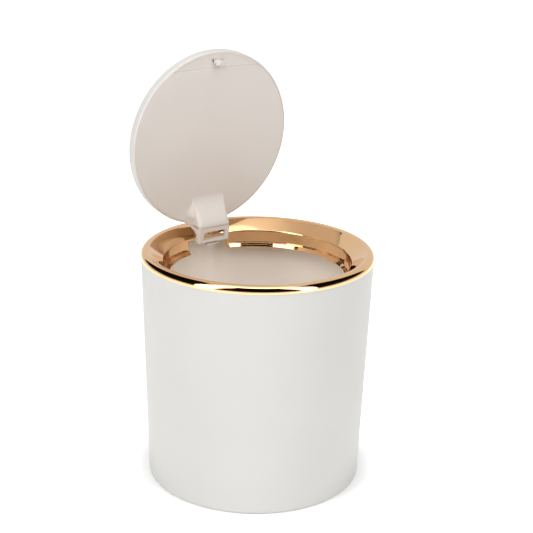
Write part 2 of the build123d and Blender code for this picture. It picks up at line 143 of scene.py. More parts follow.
def skin_over(add, links, grain, drift, grain_share):
    """Moulded skin laid over a piece, with its grain and its drift per metre."""
    skin = add("ShaderNodeGroup", node_tree=moulded_skin)
    links.new(add("ShaderNodeTexCoord").outputs["Object"], skin.inputs["Place"])
    skin.inputs["Grain per metre"].default_value = grain
    skin.inputs["Drift per metre"].default_value = drift
    skin.inputs["Grain share"].default_value = grain_share
    return skin


def two_tone(add, links, share, first, second):
    """Colour that goes from the first to the second with a share from 0 to 1."""
    blend = add("ShaderNodeMix", data_type="RGBA")
    links.new(share, blend.inputs["Factor"])
    blend.inputs["A"].default_value = (*first, 1.0)
    blend.inputs["B"].default_value = (*second, 1.0)
    return blend.outputs["Result"]


def dress(shader, add, links, skin, colour, gloss, relief):
    """Give a shader its colour, its uneven gloss and a skin that stands out by the relief in metres."""
    bump = add("ShaderNodeBump", {"Height": skin.outputs["Relief"], "Strength": 1.0, "Distance": relief})
    links.new(colour, shader.inputs["Base Color"])
    links.new(gloss.outputs["Result"], shader.inputs["Roughness"])
    links.new(bump.outputs["Normal"], shader.inputs["Normal"])


def moulded_finish(name, pale, deep, roughness, grain, drift, relief, grain_share, sheen=0.0):
    """Moulded plastic or rubber, whose colour and gloss wander a little over the surface."""
    material, shader, add, links = new_finish(name)
    skin = skin_over(add, links, grain, drift, grain_share)
    spread = add("ShaderNodeMapRange", {"Value": skin.outputs["Drift"], "From Min": 0.3, "From Max": 0.7})
    colour = two_tone(add, links, spread.outputs["Result"], deep, pale)
    gloss = add(
        "ShaderNodeMapRange",
        {"Value": skin.outputs["Drift"], "To Min": roughness * 1.15, "To Max": roughness * 0.85},
    )
    dress(shader, add, links, skin, colour, gloss, relief)
    shader.inputs["Sheen Weight"].default_value = sheen
    return material


foot_rubber = moulded_finish(
    "foot_rubber", pale=(0.60, 0.60, 0.59), deep=(0.52, 0.52, 0.51), roughness=0.75,
    grain=2600.0, drift=140.0, relief=0.04 * mm, grain_share=0.8, sheen=0.15,
)


def foot_pad(node):
    """Pad in its CAD node's place: a disc with two ring grooves in its grip face."""
    low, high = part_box(node)
    radius = (high.x - low.x) / 2
    pad = bmesh.new()
    bmesh.ops.create_cone(
        pad, cap_ends=True, segments=pad_turns, radius1=radius, radius2=radius, depth=high.z - low.z,
    )
    bmesh.ops.translate(pad, verts=pad.verts, vec=(low + high) / 2)
    soften(pad, pad_edge_round)
    grip = min(pad.faces, key=lambda face: face.calc_center_median().z)
    for sink in (pad_groove_depth, 0.0, pad_groove_depth, 0.0):
        bmesh.ops.inset_region(pad, faces=[grip], thickness=pad_groove_width / 2)
        level = low.z + sink
        bmesh.ops.translate(pad, verts=grip.verts, vec=(0, 0, level - grip.calc_center_median().z))
    set_piece(pad, f"{node}_rubber", foot_rubber, "can", "foot_rubber", node)


for pad_node in sorted(node for node in frame["nodes"] if node.startswith("foot_pad")):
    foot_pad(pad_node)


# Can body
# A one-piece injection-moulded bucket with a slight draft. The outside is lacquered pearl white, and the
# inside is cream resin, painted lighter and warmer than the outside to stand in for the gold ring's warm
# bounce light and to lift the shade inside the can. It stands on a narrow foot ring, and the floor shows
# the gate's mark.
can_low, can_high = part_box("can_body")
rim_radius = can_high.x
base_radius = rim_radius - 5.1 * mm
can_wall = 1.9 * mm
can_base_round = 1.1 * mm
can_rim_round = 0.5 * mm
foot_ring_width = 5.0 * mm
floor_under = can_low.z + 1.2 * mm
floor_top = floor_under + 2.2 * mm
floor_corner_round = 5.0 * mm
gate_radius = 2.4 * mm
gate_height = 0.35 * mm
gate_round = 0.2 * mm
foot_ring_round = 0.5 * mm
foot_ring_fillet = 0.6 * mm
can_turns = 288
touching = 0.001 * mm


def rounded(corners, steps=8, closed=True):
    """Outline through (R, z, radius) corners, each one rounded to its radius."""
    points = []
    for i, (r, z, radius) in enumerate(corners):
        here = Vector((r, z))
        if not radius or (not closed and i in (0, len(corners) - 1)):
            points.append(here)
            continue
        back = (Vector(corners[i - 1][:2]) - here).normalized()
        onward = (Vector(corners[(i + 1) % len(corners)][:2]) - here).normalized()
        half = back.angle(onward) / 2
        centre = here + (back + onward).normalized() * radius / math.sin(half)
        start = (here + back * radius / math.tan(half) - centre).normalized()
        end = (here + onward * radius / math.tan(half) - centre).normalized()
        points += [centre + start.slerp(end, k / steps) * radius for k in range(steps + 1)]
    return points


def spun(outline, turns, closed=True):
    """Full turn of an (R, z) outline about the can's axis."""
    bm = bmesh.new()
    verts = [bm.verts.new((r, 0, z)) for r, z in outline]
    ends = verts[1:] + verts[:1] if closed else verts[1:]
    edges = [bm.edges.new(pair) for pair in zip(verts, ends)]
    bmesh.ops.spin(bm, geom=verts + edges, axis=(0, 0, 1), angle=math.tau, steps=turns, use_merge=True)
    bmesh.ops.remove_doubles(bm, verts=bm.verts, dist=touching)
    return bm


pearl_lacquer = moulded_finish(
    "pearl_lacquer", pale=(0.80, 0.79, 0.76), deep=(0.785, 0.775, 0.745), roughness=0.42,
    grain=1500.0, drift=22.0, relief=0.004 * mm, grain_share=1.0,
)
# The inside's resin colour is partly painted light: lighter and warmer than the lacquer, for the gold
# ring's warm bounce and the shade inside.
cream_resin_painted_light = moulded_finish(
    "cream_resin_painted_light", pale=(0.955, 0.905, 0.845), deep=(0.925, 0.875, 0.81), roughness=0.42,
    grain=1900.0, drift=26.0, relief=0.01 * mm, grain_share=0.9,
)

can_outline = rounded(
    [
        (0, floor_under + gate_height, 0),
        (gate_radius, floor_under + gate_height, gate_round),
        (gate_radius + gate_height, floor_under, gate_round),
        (base_radius - foot_ring_width, floor_under, foot_ring_fillet),
        (base_radius - foot_ring_width, can_low.z, foot_ring_round),
        (base_radius, can_low.z, can_base_round),
        (rim_radius, can_high.z, can_rim_round),
        (rim_radius - can_wall, can_high.z, can_rim_round),
        (base_radius - can_wall, floor_top, floor_corner_round),
        (0, floor_top, 0),
    ],
    closed=False,
)
can = spun(can_outline, can_turns, closed=False)
draft = (rim_radius - base_radius) / (can_high.z - can_low.z)
# Faces inside the can take the resin with painted warm light, the rest take the lacquer.
for face in can.faces:
    centre = face.calc_center_median()
    wall_middle = base_radius + draft * (centre.z - can_low.z) - can_wall / 2
    inside = math.hypot(centre.x, centre.y) < wall_middle and centre.z > (floor_under + floor_top) / 2
    face.material_index = 1 if inside else 0
set_piece(can, "can_bucket", (pearl_lacquer, cream_resin_painted_light), "can", "white_shell", "can_body")


# Rim ring
# One hollow moulding, electroplated to a rose-gold mirror: a round bead on the can's rim, a sloping dish
# down to the mouth, a wall, and a stepped ledge under the shut lid. A skirt inside the can holds it.
ring_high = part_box("rim_ring")[1]
bead_round = 4.3 * mm
bead_r = ring_high.x - bead_round
bead_z = ring_high.z - bead_round
mouth_radius = rim_radius - 15.7 * mm
mouth_z = can_high.z - 2.8 * mm
mouth_round = 1.4 * mm
ring_wall = 1.8 * mm
mouth_relief = 0.4 * mm
wall_radius = mouth_radius + mouth_relief
ledge_z = mouth_z - 8.7 * mm
ledge_width = 3.8 * mm
ledge_top_z = ledge_z + 0.05 * mm
ledge_thickness = 2.8 * mm
ledge_root_round = 0.2 * mm
step_run = 0.8 * mm
step_drop = 1.0 * mm
step_line = 0.35 * mm
step_edge_round = 0.3 * mm
step_root_round = 0.06 * mm
step_line_round = 0.14 * mm
ledge_radius = wall_radius - ledge_width
ledge_round = 0.5 * mm
skirt_wall = 1.6 * mm
skirt_outer = rim_radius - can_wall - 0.3 * mm
skirt_low_z = can_high.z - 10.0 * mm
ring_turns = 360
bead_steps = 40
corner_steps = 6


def bead_arc(radius, start, end):
    """Corners round the bead's centre, from one angle to another."""
    return [
        (bead_r + radius * math.cos(turn), bead_z + radius * math.sin(turn), 0)
        for turn in (start + (end - start) * k / bead_steps for k in range(bead_steps + 1))
    ]


run, drop = bead_r - mouth_radius, bead_z - mouth_z
dish_slope = math.atan2(drop, run) + math.asin(bead_round / math.hypot(run, drop))
dish_touch = math.pi / 2 + dish_slope
bead_seat = -math.asin((bead_z - can_high.z) / bead_round)
cavity_round = bead_round - ring_wall
skirt_inner = skirt_outer - skirt_wall
skirt_lean = draft * (can_high.z - skirt_low_z)
cavity_foot = math.acos((skirt_inner - bead_r) / cavity_round)
under_dish_z = bead_z + cavity_round * math.sin(dish_touch)
under_dish_r = bead_r + cavity_round * math.cos(dish_touch)
wall_back = wall_radius + ring_wall
wall_back_z = under_dish_z - (under_dish_r - wall_back) * math.tan(dish_slope)
ring_outline = rounded(
    bead_arc(bead_round, bead_seat, dish_touch)
    + [
        (mouth_radius, mouth_z, mouth_round),
        (wall_radius, mouth_z - ring_wall, 0),
        (wall_radius, ledge_top_z, ledge_root_round),
        (ledge_radius + 2 * step_run + step_line, ledge_top_z, step_edge_round),
        (ledge_radius + step_run + step_line, ledge_top_z - step_drop, step_root_round),
        (ledge_radius + step_run, ledge_top_z - step_drop, step_line_round),
        (ledge_radius, ledge_top_z - 2 * step_drop, ledge_root_round),
        (ledge_radius, ledge_z - ledge_thickness, ledge_round),
        (wall_back, ledge_z - ledge_thickness, ledge_round),
        (wall_back, wall_back_z, 0),
    ]
    + bead_arc(cavity_round, dish_touch, cavity_foot)
    + [
        (skirt_inner, can_high.z, 0),
        (skirt_inner - skirt_lean, skirt_low_z, ledge_round),
        (skirt_outer - skirt_lean, skirt_low_z, ledge_round),
        (skirt_outer, can_high.z, 0),
    ],
    steps=corner_steps,
)
ring = spun(ring_outline, ring_turns)


def combined(base, tool, operation):
    """One closed mesh from two: the tool is cut from the base, joined to it or crossed with it."""
    pair = []
    for bm in (base, tool):
        bmesh.ops.recalc_face_normals(bm, faces=bm.faces)
        mesh = bpy.data.meshes.new("combining")
        bm.to_mesh(mesh)
        bm.free()
        made = bpy.data.objects.new("combining", mesh)
        bpy.context.scene.collection.objects.link(made)
        pair.append(made)
    cut = pair[0].modifiers.new("combining", "BOOLEAN")
    cut.object = pair[1]
    cut.operation = operation
    cut.solver = "EXACT"
    result = bmesh.new()
    result.from_object(pair[0], bpy.context.evaluated_depsgraph_get())
    for made in pair:
        mesh = made.data
        bpy.data.objects.remove(made)
        bpy.data.meshes.remove(mesh)
    return result


def block(x_range, y_range, z_range, upright_round=0.0):
    """Box between two corners, with its upright edges rounded."""
    bm = bmesh.new()
    bmesh.ops.create_cube(bm, size=1.0)
    ranges = (x_range, y_range, z_range)
    bmesh.ops.scale(bm, verts=bm.verts, vec=[high - low for low, high in ranges])
    bmesh.ops.translate(bm, verts=bm.verts, vec=[(high + low) / 2 for low, high in ranges])
    if upright_round:
        upright = [edge for edge in bm.edges if abs(edge.verts[0].co.z - edge.verts[1].co.z) > touching]
        bmesh.ops.bevel(
            bm, geom=upright, offset=upright_round, offset_type="OFFSET", segments=corner_steps,
            profile=0.5, affect="EDGES", clamp_overlap=True, material=-1,
        )
    return bm


def both_sides(low, high):
    """X range on the right of the middle, and its twin on the left."""
    return ((low, high), (-high, -low))


def post(x, y, radius, z_range):
    """Upright round post."""
    bm = bmesh.new()
    low, high = z_range
    bmesh.ops.create_cone(bm, cap_ends=True, segments=48, radius1=radius, radius2=radius, depth=high - low)
    bmesh.ops.translate(bm, verts=bm.verts, vec=(x, y, (low + high) / 2))
    return bm


def crossbar(radius, half_width, y, z):
    """Round bar along X."""
    bm = bmesh.new()
    length = 2 * half_width
    bmesh.ops.create_cone(bm, cap_ends=True, segments=64, radius1=radius, radius2=radius, depth=length)
    bmesh.ops.rotate(bm, verts=bm.verts, cent=(0, 0, 0), matrix=Matrix.Rotation(math.pi / 2, 3, "Y"))
    bmesh.ops.translate(bm, verts=bm.verts, vec=(0, y, z))
    return bm


hinge = next(joint for joint in frame["joints"] if joint["name"] == "lid_hinge")
pivot = Vector(hinge["pos_m"])
pin_low, pin_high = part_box("hinge_pin")
pin_radius = (pin_high.z - pin_low.z) / 2
knuckle_radius = 2.5 * mm
neck_half_width = 13.0 * mm
notch_half_width = neck_half_width + 3.8 * mm
arm_half_width = 4.8 * mm
slot_half_width = arm_half_width + 1.35 * mm
slot_end_y = pivot.y + 0.2 * mm
slot_round = 1.2 * mm
far = 0.4
# Tools that cut right through reach to far, well outside the can. The notch clears the gooseneck below
# the dish, and the narrow slot lets the arm through it.
notch = block(
    (-notch_half_width, notch_half_width), (mouth_radius / 2, pivot.y - knuckle_radius),
    (0, mouth_z - ring_wall),
)
ring = combined(ring, notch, "DIFFERENCE")
arm_slot = block((-slot_half_width, slot_half_width), (mouth_radius / 2, slot_end_y), (0, far), slot_round)
ring = combined(ring, arm_slot, "DIFFERENCE")

# The hinge's two ears fill the hollow under the dish, each side of the slot.
ear_inner_x = pin_high.x - 2.7 * mm
ear_outer_x = pin_high.x - 0.7 * mm
ear_low_z = pivot.z - knuckle_radius - 0.4 * mm
ear_back_r = skirt_outer - skirt_wall / 2 - draft * (can_high.z - ear_low_z)
ear_fill_round = bead_round - ring_wall / 2
ear_front_y = pivot.y - knuckle_radius - 0.3 * mm
ear_outline = [
    (bead_r + ear_fill_round * math.cos(dish_touch), bead_z + ear_fill_round * math.sin(dish_touch)),
    (wall_back, mouth_z - ring_wall / 2),
    (wall_back, ear_low_z),
    (ear_back_r, ear_low_z),
    (ear_back_r, bead_z),
    (bead_r, bead_z + ear_fill_round),
]
for ear_x in both_sides(ear_inner_x, ear_outer_x):
    ear_block = block(ear_x, (ear_front_y, rim_radius), (0, far))
    ear = combined(spun(ear_outline, ring_turns), ear_block, "INTERSECT")
    ring = combined(ring, ear, "UNION")
ring = combined(ring, crossbar(pin_radius, 2 * ear_outer_x, pivot.y, pivot.z), "DIFFERENCE")

# The shelf under the front of the ledge carries the latch: a slot for the striker, and two screw bosses.
housing_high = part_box("latch_housing")[1]
cover_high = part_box("latch_cover")[1]
slider_low, slider_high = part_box("latch_slider")
screws_low, screws_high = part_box("latch_screws")
striker_y = (slider_low.y + slider_high.y) / 2
screw_head_radius = (screws_high.y - screws_low.y) / 2
screw_x = screws_high.x - screw_head_radius
shelf_under_z = ledge_z - 1.6 * mm
shelf_half_width = housing_high.x + 0.9 * mm
shelf_back_y = cover_high.y + 1.1 * mm
shelf_round = 3.0 * mm
shelf_edge_round = 0.3 * mm
striker_slot_half = Vector((4.7, 2.4)) * mm
striker_slot_round = 0.8 * mm
boss_radius = 2.4 * mm
boss_height = 3.5 * mm
boss_reach = 0.5 * mm
shelf = block(
    (-shelf_half_width, shelf_half_width), (-wall_radius - ring_wall / 2, shelf_back_y),
    (shelf_under_z, ledge_z), shelf_round,
)
soften(shelf, shelf_edge_round)
ring = combined(ring, shelf, "UNION")
for x in (-screw_x, screw_x):
    boss = post(x, striker_y, boss_radius, (shelf_under_z - boss_height, ledge_z - boss_reach))
    ring = combined(ring, boss, "UNION")
striker_slot = block(
    (-striker_slot_half.x, striker_slot_half.x),
    (striker_y - striker_slot_half.y, striker_y + striker_slot_half.y), (0, far), striker_slot_round,
)
ring = combined(ring, striker_slot, "DIFFERENCE")


def plated_finish(name, colour, tint):
    """Bright electroplate on plastic: a mirror whose moulded base shows as the faintest ripple."""
    material, shader, add, links = new_finish(name)
    skin = skin_over(add, links, grain=900.0, drift=35.0, grain_share=0.15)
    blend = two_tone(add, links, skin.outputs["Drift"], colour, tint)
    gloss = add("ShaderNodeMapRange", {"Value": skin.outputs["Drift"], "To Min": 0.035, "To Max": 0.075})
    dress(shader, add, links, skin, blend, gloss, relief=0.003 * mm)
    shader.inputs["Metallic"].default_value = 1.0
    return material


rose_gold_plate = plated_finish("rose_gold_plate", colour=(0.93, 0.60, 0.33), tint=(0.91, 0.58, 0.315))
set_piece(ring, "rim_ring_plated", rose_gold_plate, "ring", "rose_gold_plate", "rim_ring")


# Push latch
# A moulded box is screwed under the shelf. A slider with two prongs rides on a coil spring in it, and a
# bent steel wire, held by the cover plate, steers the slider round its track, to hold down or spring up.
latch_resin = moulded_finish(
    "latch_resin", pale=(0.66, 0.66, 0.65), deep=(0.62, 0.62, 0.61), roughness=0.5,
    grain=2200.0, drift=120.0, relief=0.02 * mm, grain_share=0.6,
)
slider_resin = moulded_finish(
    "slider_resin", pale=(0.80, 0.79, 0.77), deep=(0.76, 0.75, 0.73), roughness=0.38,
    grain=1800.0, drift=120.0, relief=0.01 * mm, grain_share=0.4,
)
latch_edge_round = 0.18 * mm
screw_edge_round = 0.12 * mm


def eased_node(node, name, finish, body, slot, edge_round):
    """A node's own shape, merged and with its sharp edges eased as a mould or a die leaves them."""
    bm = bmesh.new()
    bm.from_mesh(frame["nodes"][node].data)
    bmesh.ops.remove_doubles(bm, verts=bm.verts, dist=touching)
    bmesh.ops.dissolve_limit(bm, angle_limit=math.radians(1.0), verts=bm.verts, edges=bm.edges)
    soften(bm, edge_round)
    set_piece(bm, name, finish, body, slot, node)


eased_node("latch_housing", "latch_box", latch_resin, "ring", "latch_plastic", latch_edge_round)
eased_node("latch_cover", "latch_cover_plate", latch_resin, "ring", "latch_plastic", latch_edge_round)
eased_node(
    "latch_slider", "latch_slider_block", slider_resin, "slider", "latch_slider_plastic", latch_edge_round,
)


def steel_finish(name, colour, roughness, grain):
    """Drawn steel wire or rod, with fine die lines and a little uneven oil."""
    material, shader, add, links = new_finish(name)
    skin = skin_over(add, links, grain, drift=300.0, grain_share=0.8)
    blend = two_tone(add, links, skin.outputs["Drift"], colour, [0.82 * c for c in colour])
    gloss = add(
        "ShaderNodeMapRange",
        {"Value": skin.outputs["Relief"], "To Min": roughness * 0.8, "To Max": roughness * 1.3},
    )
    dress(shader, add, links, skin, blend, gloss, relief=0.01 * mm)
    shader.inputs["Metallic"].default_value = 1.0
    return material


spring_steel = steel_finish("spring_steel", colour=(0.58, 0.58, 0.59), roughness=0.24, grain=4000.0)


def steel_node(node):
    """Keep a node's own shape and give it the steel finish."""
    piece = frame["nodes"][node]
    piece.data.materials.clear()
    piece.data.materials.append(spring_steel)


steel_node("latch_spring")
steel_node("latch_cam_pin")
eased_node("latch_screws", "latch_screw_pair", spring_steel, "ring", "spring_steel", screw_edge_round)


# Hinge pin and springs
# A plain steel pin, pressed into the ring's two ears, carries the lid's arm. On each side a torsion spring
# is wound round it, with a leg on the ring's skirt and one hooked behind the arm, to throw the lid open.
for node_name in ("hinge_pin", "hinge_spring_left", "hinge_spring_right"):
    steel_node(node_name)


# Lid base
# The underside of the lid: a round panel that is cut straight at the front, with a gooseneck that dips
# under the ring. A pierced block ends the neck, and a narrow arm rises behind the rim to the hinge pin.
lid_open_angle = math.radians(84.0)
lid_radius = mouth_radius - 0.8 * mm
lid_under_z = ledge_z + 2.5 * mm
lid_top_z = pivot.z
cover_top = 1.6 * mm
cover_wall = 1.5 * mm
panel_gap = 0.05 * mm
panel_radius = lid_radius - cover_wall - panel_gap
panel_thickness = 1.6 * mm
panel_edge_round = 0.3 * mm
chord_y = striker_y + 4.6 * mm
chord_round = 1.0 * mm
neck_face_z = lid_under_z - 11.3 * mm
neck_front_y = lid_radius - 2.2 * mm
neck_end_y = neck_front_y + 12.7 * mm
neck_return_z = neck_face_z + 4.0 * mm
neck_back_lift = 0.8 * mm
ramp_start_y = neck_front_y - 20.0 * mm
ramp_end_y = neck_front_y + 1.2 * mm
ramp_start_handle = 9.0 * mm
ramp_end_handle = 8.7 * mm
ramp_steps = 24
ramp_edge_round = 4.0 * mm
neck_edge_round = 1.3 * mm
neck_flare = 3.0 * mm
inland_flare = 3.0 * mm
neck_flare_end_y = neck_front_y + 5.0 * mm
neck_least_back = 0.1 * mm
neck_least_depth = 0.03 * mm
neck_least_flare = 0.02 * mm
neck_corner_share = 0.38
neck_fillet_share = 0.6
inland_end_y = neck_front_y - 1.0 * mm
inland_run = 5.0 * mm
slack_end_y = neck_front_y + 2.0 * mm
slack_run = 8.0 * mm
neck_steps = 6
lid_turns = 288


def slab(outline, half_width):
    """Solid of a (y, z) outline, half_width each side of the middle."""
    bm = bmesh.new()
    face = bm.faces.new([bm.verts.new((-half_width, y, z)) for y, z in outline])
    pushed = bmesh.ops.extrude_face_region(bm, geom=[face])
    moved = [item for item in pushed["geom"] if isinstance(item, bmesh.types.BMVert)]
    bmesh.ops.translate(bm, verts=moved, vec=(2 * half_width, 0, 0))
    return bm


def cut_straight(bm, y):
    """Cut a closed mesh on an upright plane across the can, keep the rear and close the cut."""
    cut = bmesh.ops.bisect_plane(
        bm, geom=bm.verts[:] + bm.edges[:] + bm.faces[:], dist=0.0001 * mm, plane_co=(0, y, 0),
        plane_no=(0, -1, 0), clear_outer=True,
    )
    edges = [item for item in cut["geom_cut"] if isinstance(item, bmesh.types.BMEdge)]
    bmesh.ops.contextual_create(bm, geom=edges)


def opened(bm):
    """Turn a shut lid piece about the hinge pin to the open rest pose."""
    turn = Matrix.Rotation(-lid_open_angle, 3, "X")
    bmesh.ops.rotate(bm, verts=bm.verts, cent=pivot, matrix=turn)
    return bm


def lid_disc(radius, low_z, high_z, low_round=0.0, high_round=0.0):
    """Solid disc on the can's axis."""
    outline = [(0, low_z, 0), (radius, low_z, low_round), (radius, high_z, high_round), (0, high_z, 0)]
    return spun(rounded(outline, closed=False), lid_turns, closed=False)


panel = lid_disc(panel_radius, lid_under_z, lid_under_z + panel_thickness, panel_edge_round)
cut_straight(panel, chord_y)
low_enough = lid_under_z + panel_edge_round + touching
chord_edge = [
    edge for edge in panel.edges
    if all(abs(vert.co.y - chord_y) < touching and vert.co.z < low_enough for vert in edge.verts)
]
bmesh.ops.bevel(
    panel, geom=chord_edge, offset=chord_round, offset_type="OFFSET", segments=corner_steps, profile=0.5,
    affect="EDGES", clamp_overlap=False, material=-1,
)
ramp = interpolate_bezier(
    Vector((ramp_start_y, lid_under_z)), Vector((ramp_start_y + ramp_start_handle, lid_under_z)),
    Vector((ramp_end_y - ramp_end_handle, neck_face_z)), Vector((ramp_end_y, neck_face_z)), ramp_steps,
)
# Each station of the neck is a place along Y, the height of its face and the height of its back. The
# first lies inside the panel, and the back comes down in a curve behind the lid's edge.
neck_stations = [(ramp_start_y - 0.5 * mm, lid_under_z + 0.1 * mm, lid_under_z + neck_back_lift)]
neck_stations += [(point.x, point.y, lid_under_z + neck_back_lift) for point in ramp[1:]]
neck_stations += [
    (lid_radius + out * mm, neck_face_z, neck_return_z + rise * mm)
    for out, rise in (
        (-1.6, 7.25), (-0.8, 7.2), (0.0, 7.1), (0.6, 6.8), (1.1, 6.1), (1.6, 5.1), (2.1, 3.7), (2.7, 2.2),
        (3.5, 0.8), (4.4, 0.1), (5.2, 0.0),
    )
]
neck_stations.append((neck_end_y, neck_face_z, neck_return_z))


def risen(y, end_y, run):
    """Share that is 0 behind end_y and rises to 1 over a run ahead of it."""
    return min(max((end_y - y) / run, 0), 1)


def neck_section(y, face_z, back_z):
    """Section of the neck: wide hollow fillets at the panel and small rounds at the face."""
    foot_z = min(lid_under_z, back_z - neck_least_back)
    depth = max(foot_z - face_z, neck_least_depth)
    reach = min(max(neck_flare_end_y - y, 0), neck_flare)
    inland = risen(y, inland_end_y, inland_run)
    flare = neck_flare - math.sqrt(neck_flare**2 - reach**2) + inland_flare * inland
    flare = max(neck_least_flare, min(flare, depth))
    slack = risen(y, slack_end_y, slack_run)
    corner = neck_edge_round + (ramp_edge_round - neck_edge_round) * slack
    corner = min(corner, neck_corner_share * depth)
    half = [(neck_half_width + flare, back_z)]
    for k in range(neck_steps + 1):
        turn = math.pi / 2 * k / neck_steps
        half.append((
            neck_half_width + flare * (1 - math.sin(turn)),
            face_z + depth - min(flare, neck_fillet_share * depth) * (1 - math.cos(turn)),
        ))
    for k in range(neck_steps + 1):
        turn = math.pi / 2 * k / neck_steps
        half.append((
            neck_half_width - corner * (1 - math.cos(turn)), face_z + corner * (1 - math.sin(turn)),
        ))
    return [(x, y, z) for x, z in half] + [(-x, y, z) for x, z in reversed(half)]


def lofted(sections):
    """Closed solid through a row of closed sections."""
    bm = bmesh.new()
    rings = []
    for section in sections:
        verts = [bm.verts.new(point) for point in section]
        rings.append([bm.edges.new(pair) for pair in zip(verts, verts[1:] + verts[:1])])
    for first, second in zip(rings, rings[1:]):
        bmesh.ops.bridge_loops(bm, edges=first + second)
    for end in (rings[0], rings[-1]):
        bmesh.ops.contextual_create(bm, geom=end)
    return bm


neck = lofted([neck_section(*station) for station in neck_stations])
end_edges = [
    edge for edge in neck.edges
    if all(abs(vert.co.y - neck_end_y) < touching for vert in edge.verts)
    and min(vert.co.z for vert in edge.verts) < neck_return_z - touching
]
bmesh.ops.bevel(
    neck, geom=end_edges, offset=neck_edge_round / 2, offset_type="OFFSET", segments=4, profile=0.5,
    affect="EDGES", clamp_overlap=False, material=-1,
)
# The block at the neck's end is hollowed from above, and a window pierces its face.
pocket_wall = 2.2 * mm
pocket_round = 0.6 * mm
pocket_x = (-10.5 * mm, 10.5 * mm)
pocket_y = (neck_front_y + 3.4 * mm, neck_end_y - pocket_wall)
pocket_z = (neck_face_z + pocket_wall, neck_return_z + 1.0 * mm)
neck = combined(neck, block(pocket_x, pocket_y, pocket_z, pocket_round), "DIFFERENCE")
window_round = 0.3 * mm
window_x = (-9.0 * mm, 9.0 * mm)
window_y = (neck_end_y - 8.2 * mm, neck_end_y - 2.3 * mm)
window_z = (0, neck_face_z + 3.0 * mm)
neck = combined(neck, block(window_x, window_y, window_z, window_round), "DIFFERENCE")

# The arm rises from the block, close behind the lid's edge, and ends in a round knuckle on the hinge pin.
arm_root_y = lid_radius + 0.4 * mm
arm_lap_y = arm_root_y - 2.2 * mm
arm_back_y = arm_root_y + 3.9 * mm
arm_foot_z = neck_return_z - 0.4 * mm
open_sine, open_cosine = math.sin(lid_open_angle), math.cos(lid_open_angle)
arm_outline = [
    (arm_lap_y, lid_under_z),
    (arm_root_y, lid_under_z),
    (arm_root_y, lid_top_z - 2.4 * mm),
    (pivot.y - knuckle_radius * open_sine, pivot.z + knuckle_radius * open_cosine),
    (pivot.y, pivot.z),
    (pivot.y - 0.4 * mm, pivot.z - knuckle_radius),
    (arm_root_y + 5.6 * mm, lid_under_z + 1.4 * mm),
    (arm_back_y, neck_return_z + 2.4 * mm),
    (arm_back_y, arm_foot_z),
    (arm_lap_y, arm_foot_z),
]
arm = slab(arm_outline, arm_half_width)
arm = combined(arm, crossbar(knuckle_radius, arm_half_width, pivot.y, pivot.z), "UNION")
# A thin lip hangs behind the block's end, on a short root.
lip_x = (-5.0 * mm, 5.0 * mm)
lip_y = neck_end_y + 1.2 * mm
lip_back_y = lip_y + 0.8 * mm
lip_top_z = neck_return_z + 0.9 * mm
lip = block(lip_x, (lip_y, lip_back_y), (neck_return_z - 3.4 * mm, lip_top_z))
lip_root = block(lip_x, (neck_end_y - 1.2 * mm, lip_back_y), (neck_return_z - 0.1 * mm, lip_top_z))
lip = combined(lip, lip_root, "UNION")
for part in (neck, arm, lip):
    panel = combined(panel, part, "UNION")
pin_play = 0.05 * mm
panel = combined(panel, crossbar(pin_radius + pin_play, far, pivot.y, pivot.z), "DIFFERENCE")
lid_resin = moulded_finish(
    "lid_resin", pale=(0.815, 0.76, 0.71), deep=(0.80, 0.74, 0.69), roughness=0.38,
    grain=1700.0, drift=18.0, relief=0.006 * mm, grain_share=0.9,
)
set_piece(opened(panel), "lid_base_panel", lid_resin, "lid", "lid_inner_white", "lid_base")


# Lid cover
# The top shell, which snaps over the base. The outside is lacquered like the can, and the front segment
# ahead of the panel is solid, because the striker is fixed in it.
cover_edge_round = 1.0 * mm
cover_low_round = 1.3 * mm
chord_step = 0.4 * mm
lacquer_wrap = 0.3 * mm
below_z = lid_under_z - 1.0 * mm
cover = lid_disc(lid_radius, lid_under_z, lid_top_z, cover_low_round, cover_edge_round)
hollow = lid_disc(lid_radius - cover_wall, below_z, lid_top_z - cover_top)
cut_straight(hollow, chord_y - panel_gap)
cover = combined(cover, hollow, "DIFFERENCE")
recess = lid_disc(lid_radius - cover_wall, below_z, lid_under_z + chord_step)
cover = combined(cover, recess, "DIFFERENCE")
for face in cover.faces:
    centre = face.calc_center_median()
    at_edge = math.hypot(centre.x, centre.y) > lid_radius - lacquer_wrap
    face.material_index = 0 if at_edge or centre.z > lid_top_z - cover_edge_round else 1
set_piece(opened(cover), "lid_cover_shell", (pearl_lacquer, lid_resin), "lid", "white_shell", "lid_cover")


# Striker
# The catch that the latch's prongs close on: a T-headed hook on a small plate, pushed into the cover.
striker_edge_round = 0.3 * mm
eased_node("lid_striker", "lid_striker_hook", lid_resin, "lid", "lid_inner_white", striker_edge_round)


# Studio
# A white table and a white surround. Soft boxes stand left, right and overhead, weaker lamps fill the
# front, the back and the can's inside, and only mirror-bright parts show the dark drape round the camera.
camera_turn = math.radians(-35.5)
camera_rise = math.radians(18.83)
camera_distance = 0.9099
aim_z = 0.15018
frame_pixels = 533
focal_pixels = 1325.6
camera_yaw = math.radians(0.393)
camera_roll = math.radians(1.21)


def on_dome(turn, rise, distance, height=aim_z):
    """Point at a turn from the front, a rise above the horizon and a distance from the aim."""
    side = distance * math.cos(rise)
    return Vector((side * math.sin(turn), -side * math.cos(turn), height + distance * math.sin(rise)))


def aimed(place, target, yaw=0.0, roll=0.0):
    """World matrix of a camera or lamp at a place that looks at a target."""
    forward = (target - place).normalized()
    right = forward.cross(Vector((0, 0, 1))).normalized()
    up = right.cross(forward)
    forward, right = (
        forward * math.cos(yaw) + right * math.sin(yaw), right * math.cos(yaw) - forward * math.sin(yaw),
    )
    right, up = (
        right * math.cos(roll) + up * math.sin(roll), up * math.cos(roll) - right * math.sin(roll),
    )
    turned = Matrix((right, up, -forward)).transposed().to_4x4()
    return Matrix.Translation(place) @ turned


